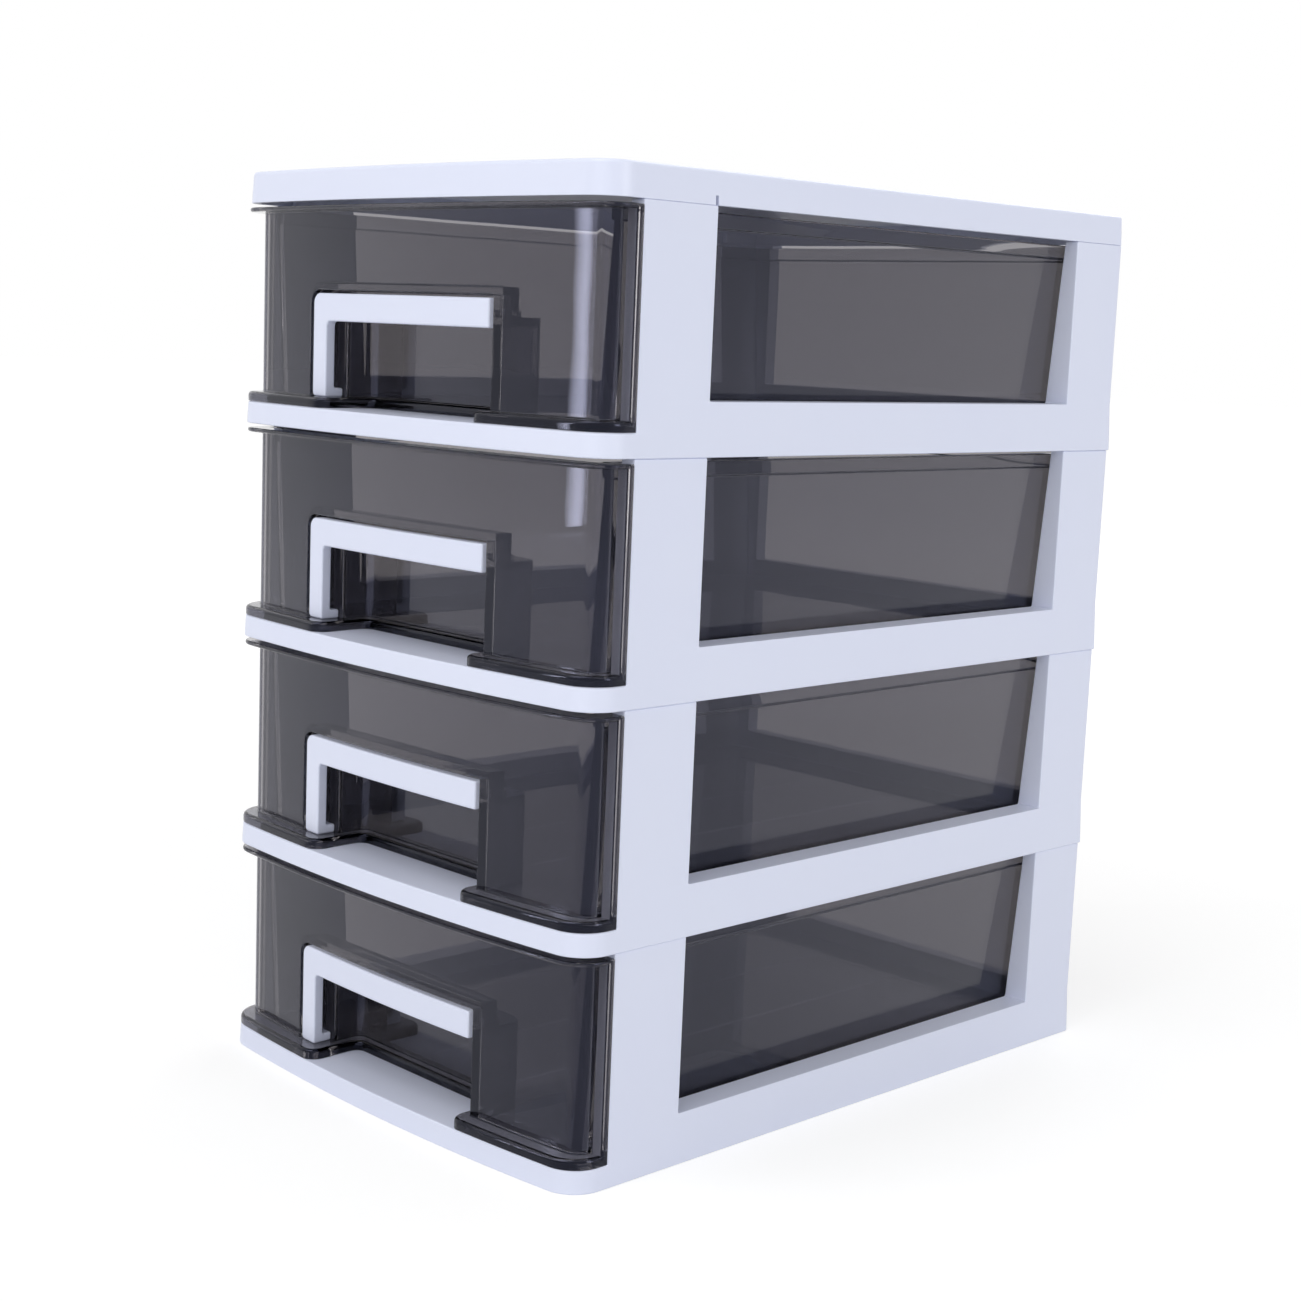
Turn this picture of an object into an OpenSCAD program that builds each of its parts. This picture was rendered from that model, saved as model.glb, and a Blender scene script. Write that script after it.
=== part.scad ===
// Desktop mini drawers: four stacked tiers under a lid. Each tier is a white moulded frame with open
// sides, and holds one smoked clear drawer with a white snap-in handle.
// X is the width, Y the depth with the drawer fronts towards -Y, and Z is up. The origin is the middle
// of the footprint, on the surface that the cabinet stands on. All sizes are in millimetres.

/* [Cabinet] */
// Width over the flared foot of the side rails
cabinet_w = 125; // [110:1:160]
// Depth from the rear face to the middle of the bowed front
cabinet_d = 177; // [150:1:230]
// Height of one tier
tier_pitch = 50; // [50:1:70]
// Radius of the front corners, seen from above
corner_r = 8; // [7:0.5:9]
// Radius of the rear corners, seen from above
rear_corner_r = 1.5; // [1:0.1:3]
// How far the middle of the front stands ahead of its corners
front_bow = 2.8; // [1.5:0.1:4]

/* [Frame] */
// Height of the front lip under a drawer
lip_h = 5; // [4.6:0.1:5.6]
// Height of the side and back rails
rail_h = 11.2; // [9.5:0.1:18]
// How far a rail's foot flares out past the posts
rail_flare = 0.55; // [0.3:0.05:0.8]
// Distance from the front-most point back to the front posts
post_setback = 13.5; // [13.5:0.5:20]
// Width of a front post, seen from the side
front_post_w = 20.5; // [12:0.5:35]
// Width of a rear post, seen from the side
rear_post_w = 18.8; // [12:0.1:35]
// Width of a rear post, seen from behind
back_post_w = 10.5; // [9:0.5:25]
// Thickness of a side wall at the top of the posts
side_top_t = 3.8; // [3.6:0.1:5]
// Thickness of a side wall at floor level, where the bay is narrower
side_foot_t = 7; // [6.4:0.1:8]
// Thickness of the back wall
back_t = 4.1; // [3:0.1:8]
// Thickness of the moulded skin
frame_skin = 2; // [1.6:0.1:2]
// Height of the tongues that locate the tier or the lid above
tongue_h = 2.8; // [1.5:0.1:4]
// Thickness of those tongues
tongue_t = 1.5; // [1:0.1:1.6]
// Depth of the sunk panels in a frame's floor
floor_sink = 0.6; // [0.3:0.1:0.9]
// Width of the floor strips that stay up between the sunk panels
runner_w = 5; // [3:0.5:10]
// Distance of those strips from the middle
runner_x = 13; // [10:0.5:25]
// Width of the floor's border round the sunk panels
floor_border = 12; // [6:1:20]

/* [Lid] */
// Height of the lid
lid_h = 7; // [5.5:0.5:14]
// Thickness of the lid's skirt and top
lid_skin = 2; // [1.6:0.1:2]
// How far the lid's skirt leans in towards its top
lid_draft = 0.4; // [0.1:0.1:0.5]
// Size of the eased edge round the lid's top
lid_edge = 0.8; // [0.3:0.1:1.2]
// Width of the relief slot in the skirt beside each front post
slot_w = 0.8; // [0.5:0.1:2]
// Height of that slot
slot_h = 1.9; // [1:0.1:3]

/* [Drawer] */
// Thickness of the drawer's walls and floor
drawer_wall = 1.6; // [1.2:0.1:2]
// Thickness of the front panel
panel_t = 2; // [1.5:0.1:2.5]
// How far the front panel stands back from the bowed front of the cabinet
panel_inset = 4; // [3.4:0.1:4.6]
// How far the front panel's sides stand in from the sides of the cabinet
panel_side_inset = 3; // [2.4:0.1:3.6]
// Radius of the front panel's corners, seen from above
panel_corner_r = 4.2; // [3:0.1:5]
// Thickness of the flange under the front panel
flange_t = 2.3; // [1.8:0.1:3.5]
// How far that flange stands back from the outline of the cabinet
flange_inset = 0.2; // [0.1:0.1:0.9]
// Depth of the step along the flange's upper edge
flange_step = 0.4; // [0.2:0.1:1]
// Thickness of the thin flange along the top of the front panel
brow_t = 1; // [0.6:0.1:1.5]
// Thickness of the plate round the front panel that closes against the posts
apron_t = 1.6; // [1.2:0.1:3]
// How far that plate stands back from the outline of the cabinet
apron_inset = 0.3; // [0.2:0.1:1]
// Height of the thick band round the drawer's top
band_h = 3.2; // [2:0.1:6]
// How far the band stands out past the wall
band_out = 0.4; // [0.2:0.1:0.8]
// Thickness of the band
band_t = 2.8; // [2.2:0.1:4]
// How much the drawer's back leans in towards its floor
back_lean = 1; // [0.5:0.1:3]
// Radius of the drawer's rear corners
drawer_corner_r = 7; // [5:0.5:12]

/* [Finger recess] */
// Width of the deep finger recess
recess_w = 56; // [44:0.2:70]
// Depth of the finger recess behind the front panel's face
recess_depth = 12.8; // [10:0.1:20]
// Height of its ceiling above the flange
recess_h = 17.5; // [14:0.1:24]
// Depth of the shallow seat for the handle behind the front panel's face
seat_depth = 5; // [4.4:0.1:6.5]
// Width of the ledge that the flange leaves behind the recess
ledge_w = 2.8; // [2:0.1:5]
// Width of the ledge that the flange leaves beside the recess
side_ledge_w = 2.9; // [1.5:0.1:5]
// Radius of the recess's rear corners
recess_r = 2; // [1:0.5:4]
// Radius of the flange's ends beside the recess
flange_end_r = 3.6; // [2:0.1:5]
// Size of the square catch behind the seat, near the bar's free end
catch_size = 2.9; // [1.5:0.1:4]

/* [Handle] */
// Height of the handle's cross bar
bar_h = 6.1; // [4:0.1:8]
// How far the bar hangs below the recess's ceiling
bar_drop = 0.8; // [0.4:0.1:1.5]
// Width of the handle's leg
leg_w = 5.3; // [4:0.1:8]
// Distance of the leg from the side of the deep recess
leg_offset = 1.2; // [0.5:0.1:3]
// Thickness of the handle
handle_t = 2.6; // [2:0.1:3.6]
// Radius of the handle's outer corner
handle_r = 2.2; // [1:0.1:3.5]
// Height of the tabs behind the handle
tab_h = 2; // [1.2:0.1:3]
// Length of the tab behind the free end of the bar
end_tab_w = 4; // [2:0.5:8]

/* [Clearances] */
// Gap between a drawer and the posts that it slides between
slide_gap = 0.35; // [0.3:0.05:0.6]
// Gap between a drawer and the floor that it slides on
floor_gap = 0.1; // [0.05:0.05:0.3]
// Gap between a drawer's top and the tier or the lid above
top_gap = 1; // [0.5:0.1:2]
// Gap between a closed drawer and the frame in front of it and behind it
stop_gap = 0.35; // [0.3:0.05:0.6]
// Gap between a tongue and the skirt outside it
tongue_gap = 0.2; // [0.1:0.05:0.3]
// Gap round the handle in its seat
handle_gap = 0.7; // [0.4:0.1:1.2]
// Gap at the free end of the bar
bar_end_gap = 1.2; // [0.5:0.1:2]

/* [Hidden] */

BOTTOM = 0;
LOWER = 1;
UPPER = 2;
TOP = 3;
TIERS = 4;

WHITE = "#E2E7F5";
SMOKE = "#55545C";

eps = 0.01;
over = 2;
min_corner_r = 0.3;
arc_cross = 0.02;
wedge_reach = 1.1;
fine_fn = 64;
bow_fn = 1440;
hull_fn = 32;
hull_bow_fn = 360;

half_w = cabinet_w / 2;
half_d = cabinet_d / 2;

// The front is one wide arc that runs smoothly into the corner arcs. Insets keep the same centres.
corner_x = half_w - corner_r;
bow_r = (pow(corner_x, 2) + pow(front_bow, 2)) / (2 * front_bow);
bow_y = bow_r - half_d;

// Frame: post faces, the drafted bay between them and the hollow under the skin
post_x = half_w - rail_flare;
post_y = post_setback - half_d;
rear_y = half_d - rail_flare;
bay_rear_y = rear_y - back_t;
bay_top_x = post_x - side_top_t;
bay_foot_x = post_x - side_foot_t;
bay_slope = (bay_top_x - bay_foot_x) / (tier_pitch - lip_h);
skirt_inset = rail_flare + frame_skin;
skirt_x = half_w - skirt_inset;
floor_under = lip_h - frame_skin;
window_front_y = post_y + front_post_w;
window_rear_y = rear_y - rear_post_w;
back_open_x = post_x - back_post_w;
core_min_w = 0.8;
core_step = 0.3;
core_top = min(tier_pitch - 2 * frame_skin,
    lip_h + (skirt_x - core_min_w - frame_skin - bay_foot_x) / bay_slope);
core_rear_y = rear_y - frame_skin - core_step;
tongue_x = skirt_x - tongue_gap;
tongue_margin = 3;

// Drawer
drawer_z = lip_h + floor_gap;
drawer_top = tier_pitch - top_gap;
drawer_h = drawer_top - drawer_z;
floor_top = drawer_z + drawer_wall;
band_z = drawer_top - band_h;
band_x = bay_x(band_z) - slide_gap;
drawer_rear_y = bay_rear_y - stop_gap;
apron_rear_y = post_y - stop_gap;
apron_front_y = apron_rear_y - apron_t;
apron_mid_y = apron_rear_y - apron_t / 2;
apron_x = half_w - apron_inset;
panel_x = half_w - panel_side_inset;
flange_top = drawer_z + flange_t;
lower_flange_t = flange_t / 2;

// Finger recess and handle seat
recess_x = recess_w / 2;
face_y = front_at(recess_x, panel_inset);
recess_y = face_y + recess_depth;
seat_y = face_y + seat_depth;
recess_top = flange_top + recess_h;
ledge_x = recess_x - side_ledge_w;
ledge_y = recess_y - ledge_w;

// Handle
leg_in_x = -recess_x - leg_offset;
leg_out_x = leg_in_x - leg_w;
bar_end_x = recess_x - bar_end_gap;
bar_z = recess_top - bar_drop;
bar_top = bar_z + bar_h;
seat_x = leg_out_x - handle_gap;
seat_top = bar_top + handle_gap;
foot_r = 1;
inner_r = 1.2;

// Half width of the bay at a height above the tier's foot
function bay_x(z) = bay_foot_x + bay_slope * (z - lip_h);
// Half width of a drawer's side walls at that height
function wall_x(z) = bay_x(z) - slide_gap - band_out;
// Place of a drawer's back wall at that height
function wall_y(z) = drawer_rear_y - band_out - back_lean * (drawer_top - z) / drawer_h;
// Place of the bowed front at x, moved in by inset
function front_at(x, inset) = bow_y - sqrt(pow(bow_r - inset, 2) - x * x);

// An outline from above: a bowed front moved in by inset, sides at half width x and front corners
// of radius r that run smoothly into both, back to y_rear. The corners stand a hair proud of the
// bow, so that the arcs cross cleanly and don't just touch. Their circles are cut off halfway from
// their centres to y_rear, so that they never reach past it.
module bowed(inset, x, r, y_rear, fn = fine_fn, front_fn = bow_fn) {
    arc_r = bow_r - inset;
    cx = x - r;
    cy = bow_y - sqrt(pow(arc_r - r + arc_cross, 2) - cx * cx);
    end_x = cx * wedge_reach;
    end_y = bow_y + (cy - bow_y) * wedge_reach;
    intersection() {
        translate([0, bow_y]) circle(r = arc_r, $fn = front_fn);
        polygon([[0, bow_y], [end_x, end_y], [-end_x, end_y]]);
        translate([-half_w, end_y]) square([cabinet_w, cy - end_y + eps]);
    }
    intersection() {
        for (s = [-1, 1]) translate([s * cx, cy]) circle(r = r, $fn = fn);
        translate([-half_w - over, end_y])
            square([cabinet_w + 2 * over, (cy + y_rear) / 2 - end_y]);
    }
    translate([-x, cy]) square([2 * x, y_rear - cy]);
}

// The cabinet's own front and sides, moved in by inset
module outline(inset, y_rear, fn = fine_fn, front_fn = bow_fn) {
    bowed(inset, half_w - inset, corner_r - inset, y_rear, fn, front_fn);
}

// The cabinet's whole outline with its rounded rear corners, moved in by inset
module footprint(inset, fn = fine_fn, front_fn = bow_fn) {
    r = max(rear_corner_r - inset, min_corner_r);
    outline(inset, half_d - inset - r, fn, front_fn);
    for (s = [-1, 1]) {
        translate([s * (half_w - inset - r), half_d - inset - r]) circle(r = r, $fn = fn);
    }
    translate([-half_w + inset + r, half_d - inset - r - eps])
        square([cabinet_w - 2 * (inset + r), r + eps]);
}

// The front panel's outline, moved in by inset
module panel_plan(inset, y_rear) {
    bowed(panel_inset + inset, panel_x - inset, panel_corner_r - inset, y_rear);
}

// A thin slice of the footprint, for hulls
module slice(z, inset) {
    translate([0, 0, z]) linear_extrude(eps) footprint(inset, hull_fn, hull_bow_fn);
}

// A profile in X and Z, run along Y from y0 to y1
module along_y(y0, y1) {
    translate([0, y1, 0]) rotate([90, 0, 0]) linear_extrude(y1 - y0) children();
}

// The space between the posts, which narrows towards the floor
module bay() {
    top_z = tier_pitch + tongue_h + over;
    along_y(-half_d - over, bay_rear_y)
        polygon([[-bay_foot_x, lip_h], [bay_foot_x, lip_h], [bay_x(top_z), top_z],
            [-bay_x(top_z), top_z]]);
}

// Hollow inside a side wall, open underneath, up to top_z
module side_core(y0, y1, top_z) {
    for (s = [0, 1]) mirror([s, 0, 0]) along_y(y0, y1)
        polygon([[bay_x(floor_under) + frame_skin, floor_under - eps],
            [skirt_x, floor_under - eps], [skirt_x, top_z],
            [bay_x(top_z) + frame_skin, top_z]]);
}

// Four corner posts with the tongues on their tops
module posts() {
    intersection() {
        translate([0, 0, lip_h]) linear_extrude(tier_pitch - lip_h) footprint(rail_flare);
        union() {
            for (s = [-1, 1]) {
                translate([s * half_w - back_post_w, post_y, 0])
                    cube([2 * back_post_w, front_post_w, tier_pitch + over]);
                translate([s * (back_open_x + half_w) - half_w, window_rear_y, 0])
                    cube([cabinet_w, rear_post_w + over, tier_pitch + over]);
            }
        }
    }
    for (s = [0, 1]) mirror([s, 0, 0]) {
        tongue(post_y, window_front_y);
        tongue(window_rear_y, bay_rear_y);
    }
}

// The tongue on a post that runs from y0 to y1
module tongue(y0, y1) {
    translate([tongue_x - tongue_t, y0 + tongue_margin, tier_pitch - eps])
        cube([tongue_t, y1 - y0 - 2 * tongue_margin, tongue_h + eps]);
}

// Sunk panels in the floor, with two strips left up between them
module floor_panels() {
    sunk_rear = bay_rear_y - floor_border;
    sunk_front = post_y + floor_border;
    sunk_x = bay_foot_x - floor_border;
    runner = runner_w / 2;
    spans = [[-sunk_x, -runner_x - runner], [-runner_x + runner, runner_x - runner],
        [runner_x + runner, sunk_x]];
    for (span = spans) {
        translate([span[0], sunk_front, lip_h - floor_sink])
            cube([span[1] - span[0], sunk_rear - sunk_front, floor_sink + over]);
    }
}

// One tier's frame: lip, floor, rails and posts in one moulding
module frame(tier) {
    color(WHITE) translate([0, 0, tier * tier_pitch]) difference() {
        union() {
            hull() {
                slice(0, 0);
                slice(rail_h - eps, rail_flare);
            }
            posts();
        }
        bay();
        translate([-half_w - over, -half_d - over, lip_h])
            cube([cabinet_w + 2 * over, post_y + half_d + over, tier_pitch]);
        translate([0, 0, -over]) linear_extrude(floor_under + over) footprint(skirt_inset);
        side_core(post_y + frame_skin, core_rear_y, rail_h - frame_skin);
        side_core(post_y + frame_skin, window_front_y - frame_skin, core_top);
        side_core(window_rear_y + frame_skin, core_rear_y, core_top);
        floor_panels();
    }
}

// The lid: a shallow cap that sits on the top posts round their tongues
module lid() {
    color(WHITE) translate([0, 0, TIERS * tier_pitch]) difference() {
        hull() {
            slice(0, rail_flare);
            slice(lid_h - lid_edge, rail_flare + lid_draft);
            slice(lid_h - eps, rail_flare + lid_draft + lid_edge);
        }
        translate([0, 0, -over])
            linear_extrude(lid_h - lid_skin + over) footprint(rail_flare + lid_skin);
        for (s = [0, 1]) mirror([s, 0, 0])
            translate([post_x - lid_skin - over, window_front_y - slot_w, -over])
                cube([lid_skin + 2 * over, slot_w, slot_h + over]);
    }
}

// A drawer tub from above: straight sides at half width x, rear face at y, rounded rear corners
module tub_plan(x, y, r, y_front, fn = fine_fn) {
    translate([-x, y_front]) square([2 * x, y - r - y_front]);
    for (s = [-1, 1]) translate([s * (x - r), y - r]) circle(r = r, $fn = fn);
    translate([-x + r, y - r - eps]) square([2 * (x - r), r + eps]);
}

// The leaning walls of a tub from z0 to z1, moved in by inset
module tub(inset, z0, z1, y_front) {
    r = drawer_corner_r - inset;
    hull() {
        for (z = [z0, z1 - eps]) {
            translate([0, 0, z]) linear_extrude(eps)
                tub_plan(wall_x(z) - inset, wall_y(z) - inset, r, y_front, hull_fn);
        }
    }
}

// The flange under the front panel, in two steps
module flange() {
    translate([0, 0, drawer_z]) linear_extrude(lower_flange_t)
        outline(flange_inset, apron_mid_y);
    translate([0, 0, drawer_z]) linear_extrude(flange_t)
        outline(flange_inset + flange_step, apron_mid_y);
}

// The gap in the flange in front of the recess, between ends rounded to radius r
module flange_gap(x, r, inset) {
    end_y = front_at(x + r, inset) + r;
    translate([-x, -half_d - over]) square([2 * x, end_y + half_d + over + eps]);
    for (s = [-1, 1]) {
        difference() {
            translate([s * (x + r / 2) - r / 2, end_y - r - over]) square([r, r + over]);
            translate([s * (x + r), end_y]) circle(r = r, $fn = fine_fn);
        }
    }
    tub_plan(x, ledge_y, recess_r, end_y);
}

// The handle's seat in X and Z, grown by grow
module seat_face(grow) {
    r = handle_r + handle_gap + grow;
    x0 = seat_x - grow;
    x1 = recess_x + grow;
    z1 = seat_top + grow;
    translate([x0, drawer_z]) square([x1 - x0, z1 - r - drawer_z]);
    translate([x0 + r, z1 - r - eps]) square([x1 - x0 - r, r + eps]);
    translate([x0 + r, z1 - r]) circle(r = r, $fn = fine_fn);
}

// The handle's shallow seat and the deep finger recess below it, grown by grow and open to the front
module recess(grow, z0) {
    y_front = -half_d - over;
    intersection() {
        along_y(y_front, seat_y + grow) seat_face(grow);
        translate([-half_w, y_front, z0]) cube([cabinet_w, half_d, tier_pitch]);
    }
    translate([0, 0, z0]) linear_extrude(recess_top + grow - z0)
        tub_plan(recess_x + grow, recess_y + grow, recess_r + grow, y_front);
}

// One smoked drawer: tub, bowed front panel, flanges, and the recess for handle and fingers
module drawer(tier) {
    color(SMOKE) translate([0, 0, tier * tier_pitch]) difference() {
        union() {
            difference() {
                drawer_block();
                tub(drawer_wall, floor_top, band_z + eps, apron_front_y - eps);
                translate([0, 0, band_z]) linear_extrude(band_h + over)
                    tub_plan(band_x - band_t, drawer_rear_y - band_t,
                        drawer_corner_r - drawer_wall, apron_front_y - eps);
                translate([0, 0, floor_top]) linear_extrude(drawer_h)
                    panel_plan(panel_t, apron_front_y);
            }
            intersection() {
                recess(drawer_wall, drawer_z);
                translate([0, 0, drawer_z]) linear_extrude(drawer_h)
                    panel_plan(0, recess_y + 2 * drawer_wall);
            }
            catch();
        }
        recess(0, flange_top);
        translate([0, 0, drawer_z - over]) linear_extrude(over + lower_flange_t)
            flange_gap(ledge_x, flange_end_r, flange_inset);
        translate([0, 0, drawer_z]) linear_extrude(flange_t + eps)
            flange_gap(ledge_x + flange_step, flange_end_r - flange_step,
                flange_inset + flange_step);
    }
}

// The drawer's outside, before it is hollowed
module drawer_block() {
    tub(0, drawer_z, drawer_top, apron_front_y + eps);
    translate([0, 0, band_z]) linear_extrude(band_h)
        tub_plan(band_x, drawer_rear_y, drawer_corner_r, apron_front_y + eps);
    translate([-apron_x, apron_front_y, drawer_z]) cube([2 * apron_x, apron_t, drawer_h]);
    translate([0, 0, drawer_z]) linear_extrude(drawer_h)
        panel_plan(0, apron_mid_y);
    flange();
    translate([0, 0, drawer_top - brow_t]) linear_extrude(brow_t)
        outline(flange_inset, apron_mid_y);
}

// The square catch on the recess's ceiling, just behind the seat's back wall
module catch() {
    translate([recess_x - catch_size, seat_y + drawer_wall / 2, recess_top])
        cube([catch_size, catch_size, catch_size]);
}

// The handle in X and Z: a cross bar with one leg that stands on the flange
module handle_face() {
    difference() {
        union() {
            translate([leg_out_x, flange_top + foot_r])
                square([leg_w, bar_top - handle_r - flange_top - foot_r]);
            translate([leg_out_x + foot_r, flange_top])
                square([leg_w - foot_r, foot_r + eps]);
            translate([leg_out_x + foot_r, flange_top + foot_r])
                circle(r = foot_r, $fn = fine_fn);
            translate([leg_out_x + handle_r, bar_z])
                square([bar_end_x - leg_out_x - handle_r, bar_h]);
            translate([leg_out_x + handle_r, bar_top - handle_r])
                circle(r = handle_r, $fn = fine_fn);
            translate([leg_in_x - eps, bar_z - inner_r])
                square([inner_r + eps, inner_r + eps]);
        }
        translate([leg_in_x + inner_r, bar_z - inner_r]) circle(r = inner_r, $fn = fine_fn);
    }
}

// One handle, bowed like the front panel, with tabs that reach the back of its seat
module handle(tier) {
    tab_y = front_at(recess_x, panel_inset + handle_t / 2);
    color(WHITE) translate([0, 0, tier * tier_pitch]) {
        intersection() {
            along_y(-half_d, seat_y) handle_face();
            translate([0, bow_y, 0]) difference() {
                cylinder(r = bow_r - panel_inset, h = tier_pitch, $fn = bow_fn);
                translate([0, 0, -over])
                    cylinder(r = bow_r - panel_inset - handle_t, h = tier_pitch + 2 * over,
                        $fn = bow_fn);
            }
        }
        translate([leg_out_x + foot_r, tab_y, flange_top])
            cube([leg_w - foot_r, seat_y - tab_y, tab_h]);
        translate([bar_end_x - end_tab_w, tab_y, bar_z + (bar_h - tab_h) / 2])
            cube([end_tab_w, seat_y - tab_y, tab_h]);
    }
}

lid();
frame(TOP);  // top_frame
frame(UPPER);  // upper_frame
frame(LOWER);  // lower_frame
frame(BOTTOM);  // bottom_frame
drawer(TOP);  // top_drawer
drawer(UPPER);  // upper_drawer
drawer(LOWER);  // lower_drawer
drawer(BOTTOM);  // bottom_drawer
handle(TOP);  // top_handle
handle(UPPER);  // upper_handle
handle(LOWER);  // lower_handle
handle(BOTTOM);  // bottom_handle
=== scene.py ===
"""Desktop mini drawers: four white tiers under a lid, with smoked clear drawers and white handles."""

import math

import bmesh
import bpy
from mathutils import Matrix, Vector

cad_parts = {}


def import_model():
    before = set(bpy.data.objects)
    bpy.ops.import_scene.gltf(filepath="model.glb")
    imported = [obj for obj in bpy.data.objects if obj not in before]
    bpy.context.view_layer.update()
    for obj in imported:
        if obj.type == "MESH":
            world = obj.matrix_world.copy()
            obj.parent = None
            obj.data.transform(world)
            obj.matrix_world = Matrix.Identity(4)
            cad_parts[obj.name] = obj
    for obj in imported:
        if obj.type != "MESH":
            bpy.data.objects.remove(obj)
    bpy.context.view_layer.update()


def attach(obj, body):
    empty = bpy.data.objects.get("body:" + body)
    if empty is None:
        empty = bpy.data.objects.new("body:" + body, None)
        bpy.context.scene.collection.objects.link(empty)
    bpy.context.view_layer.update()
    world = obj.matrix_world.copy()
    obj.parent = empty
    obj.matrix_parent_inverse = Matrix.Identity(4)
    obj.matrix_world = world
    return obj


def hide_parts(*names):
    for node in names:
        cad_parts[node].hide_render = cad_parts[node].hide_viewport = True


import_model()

# ---------------------------------------------------------------- sizes in millimetres

MM = 0.001
TIERS = ("bottom", "lower", "upper", "top")

# the cabinet's outline, seen from above
TIER_H = 50.0
HALF_W = 62.5
HALF_D = 88.5
CORNER_R = 8.0
REAR_CORNER_R = 1.5
MIN_CORNER_R = 0.3
FRONT_BOW = 2.8

# one tier's frame
LIP_H = 5.0
RAIL_H = 11.2
RAIL_FLARE = 0.55
POST_SETBACK = 13.5
FRONT_POST_W = 20.5
REAR_POST_W = 18.8
BACK_POST_W = 10.5
SIDE_TOP_T = 3.8
SIDE_FOOT_T = 7.0
BACK_T = 4.1
FRAME_SKIN = 2.0
CORE_STEP = 0.4
TONGUE_H = 2.8
TONGUE_T = 1.5
TONGUE_GAP = 0.2
TONGUE_MARGIN = 3.0
FLOOR_SINK = 0.6
RUNNER_W = 5.0
RUNNER_X = 13.0
FLOOR_BORDER = 12.0

# the lid
LID_H = 7.0
LID_SKIN = 2.0
LID_DRAFT = 0.4
LID_EDGE = 0.8
SLOT_W = 0.8
SLOT_H = 1.9

# one drawer
WALL = 1.6
PANEL_T = 2.0
PANEL_INSET = 4.0
PANEL_SIDE = 3.0
PANEL_CORNER_R = 4.2
FLANGE_T = 2.3
FLANGE_INSET = 0.2
FLANGE_FOOT_R = 0.2
FLANGE_TOP_R = 1.0
BROW_T = 1.0
BROW_R = 0.48
APRON_T = 1.6
APRON_CORNER_R = 0.7
BAND_H = 3.2
BAND_OUT = 0.4
BAND_T = 2.8
BACK_LEAN = 1.0
TUB_CORNER_R = 7.0
FLOOR_FILLET_R = 0.9

# the finger recess and the handle's seat
RECESS_W = 56.0
RECESS_DEPTH = 12.8
RECESS_H = 17.5
RECESS_R = 2.0
SEAT_DEPTH = 5.0
LEDGE_W = 2.8
SIDE_LEDGE_W = 2.9
FLANGE_END_R = 3.6
CATCH = 2.9

# the handle
BAR_H = 6.1
BAR_DROP = 0.8
LEG_W = 5.3
LEG_OFFSET = 1.2
HANDLE_T = 2.6
HANDLE_R = 2.2
TAB_H = 2.0
END_TAB_W = 4.0
FOOT_R = 1.0
INNER_R = 1.2

# clearances
SLIDE_GAP = 0.35
FLOOR_GAP = 0.1
TOP_GAP = 1.0
STOP_GAP = 0.35
HANDLE_GAP = 0.7
BAR_END_GAP = 1.2

# how far cutting shapes run past what they cut, how far joined shapes lap, how near an edge lies to a
# face to count as on it, and a distance too small to matter
PAST = 3.0
LAP = 0.5
TOUCH = 0.05
HAIR = 0.001

# rounded edges, and how finely curves are drawn
FRAME_EDGE = 0.35
LID_FOOT_EDGE = 0.175
DRAWER_EDGE = 0.28
HANDLE_EDGE = 0.45
BOW_STEPS = 40
CORNER_STEPS = 12
SMALL_STEPS = 6
EDGE_STEPS = 4
BEVEL_STEPS = 3

# angles in degrees between faces: below the first they are made one, above the second their edge is
# rounded, and above the third it stays sharp in the shading
FLAT_ANGLE = 0.02
ROUNDED_ANGLE = 35.0
SHARP_ANGLE = 40.0

# the front is one wide arc that runs smoothly into the corner arcs
bow_chord = HALF_W - CORNER_R
BOW_R = (bow_chord**2 + FRONT_BOW**2) / (2 * FRONT_BOW)
BOW_Y = BOW_R - HALF_D

post_x = HALF_W - RAIL_FLARE
post_y = POST_SETBACK - HALF_D
rear_y = HALF_D - RAIL_FLARE
bay_rear_y = rear_y - BACK_T
bay_foot_x = post_x - SIDE_FOOT_T
bay_slope = (SIDE_FOOT_T - SIDE_TOP_T) / (TIER_H - LIP_H)
skirt_inset = RAIL_FLARE + FRAME_SKIN
skirt_x = HALF_W - skirt_inset
floor_under = LIP_H - FRAME_SKIN
window_front_y = post_y + FRONT_POST_W
window_rear_y = rear_y - REAR_POST_W
back_open_x = post_x - BACK_POST_W
core_top = TIER_H - 2 * FRAME_SKIN
tongue_x = skirt_x - TONGUE_GAP

drawer_z = LIP_H + FLOOR_GAP
drawer_top = TIER_H - TOP_GAP
drawer_h = drawer_top - drawer_z
floor_top = drawer_z + WALL
band_z = drawer_top - BAND_H
drawer_rear_y = bay_rear_y - STOP_GAP
apron_rear_y = post_y - STOP_GAP
apron_front_y = apron_rear_y - APRON_T
apron_mid_y = apron_rear_y - APRON_T / 2
apron_x = HALF_W - FLANGE_INSET
panel_x = HALF_W - PANEL_SIDE
flange_top = drawer_z + FLANGE_T


def bay_x(z):
    """Half width of the space between the posts at height z, which narrows towards the floor."""
    return bay_foot_x + bay_slope * (z - LIP_H)


def wall_x(z):
    """Half width of the tub at height z."""
    return bay_x(z) - SLIDE_GAP - BAND_OUT


def wall_y(z):
    """Place of the tub's back at height z, which leans a little."""
    return drawer_rear_y - BAND_OUT - BACK_LEAN * (drawer_top - z) / drawer_h


def front_at(x, inset):
    """Place of the bowed front at x, moved in by inset."""
    return BOW_Y - math.sqrt((BOW_R - inset) ** 2 - x * x)


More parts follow.
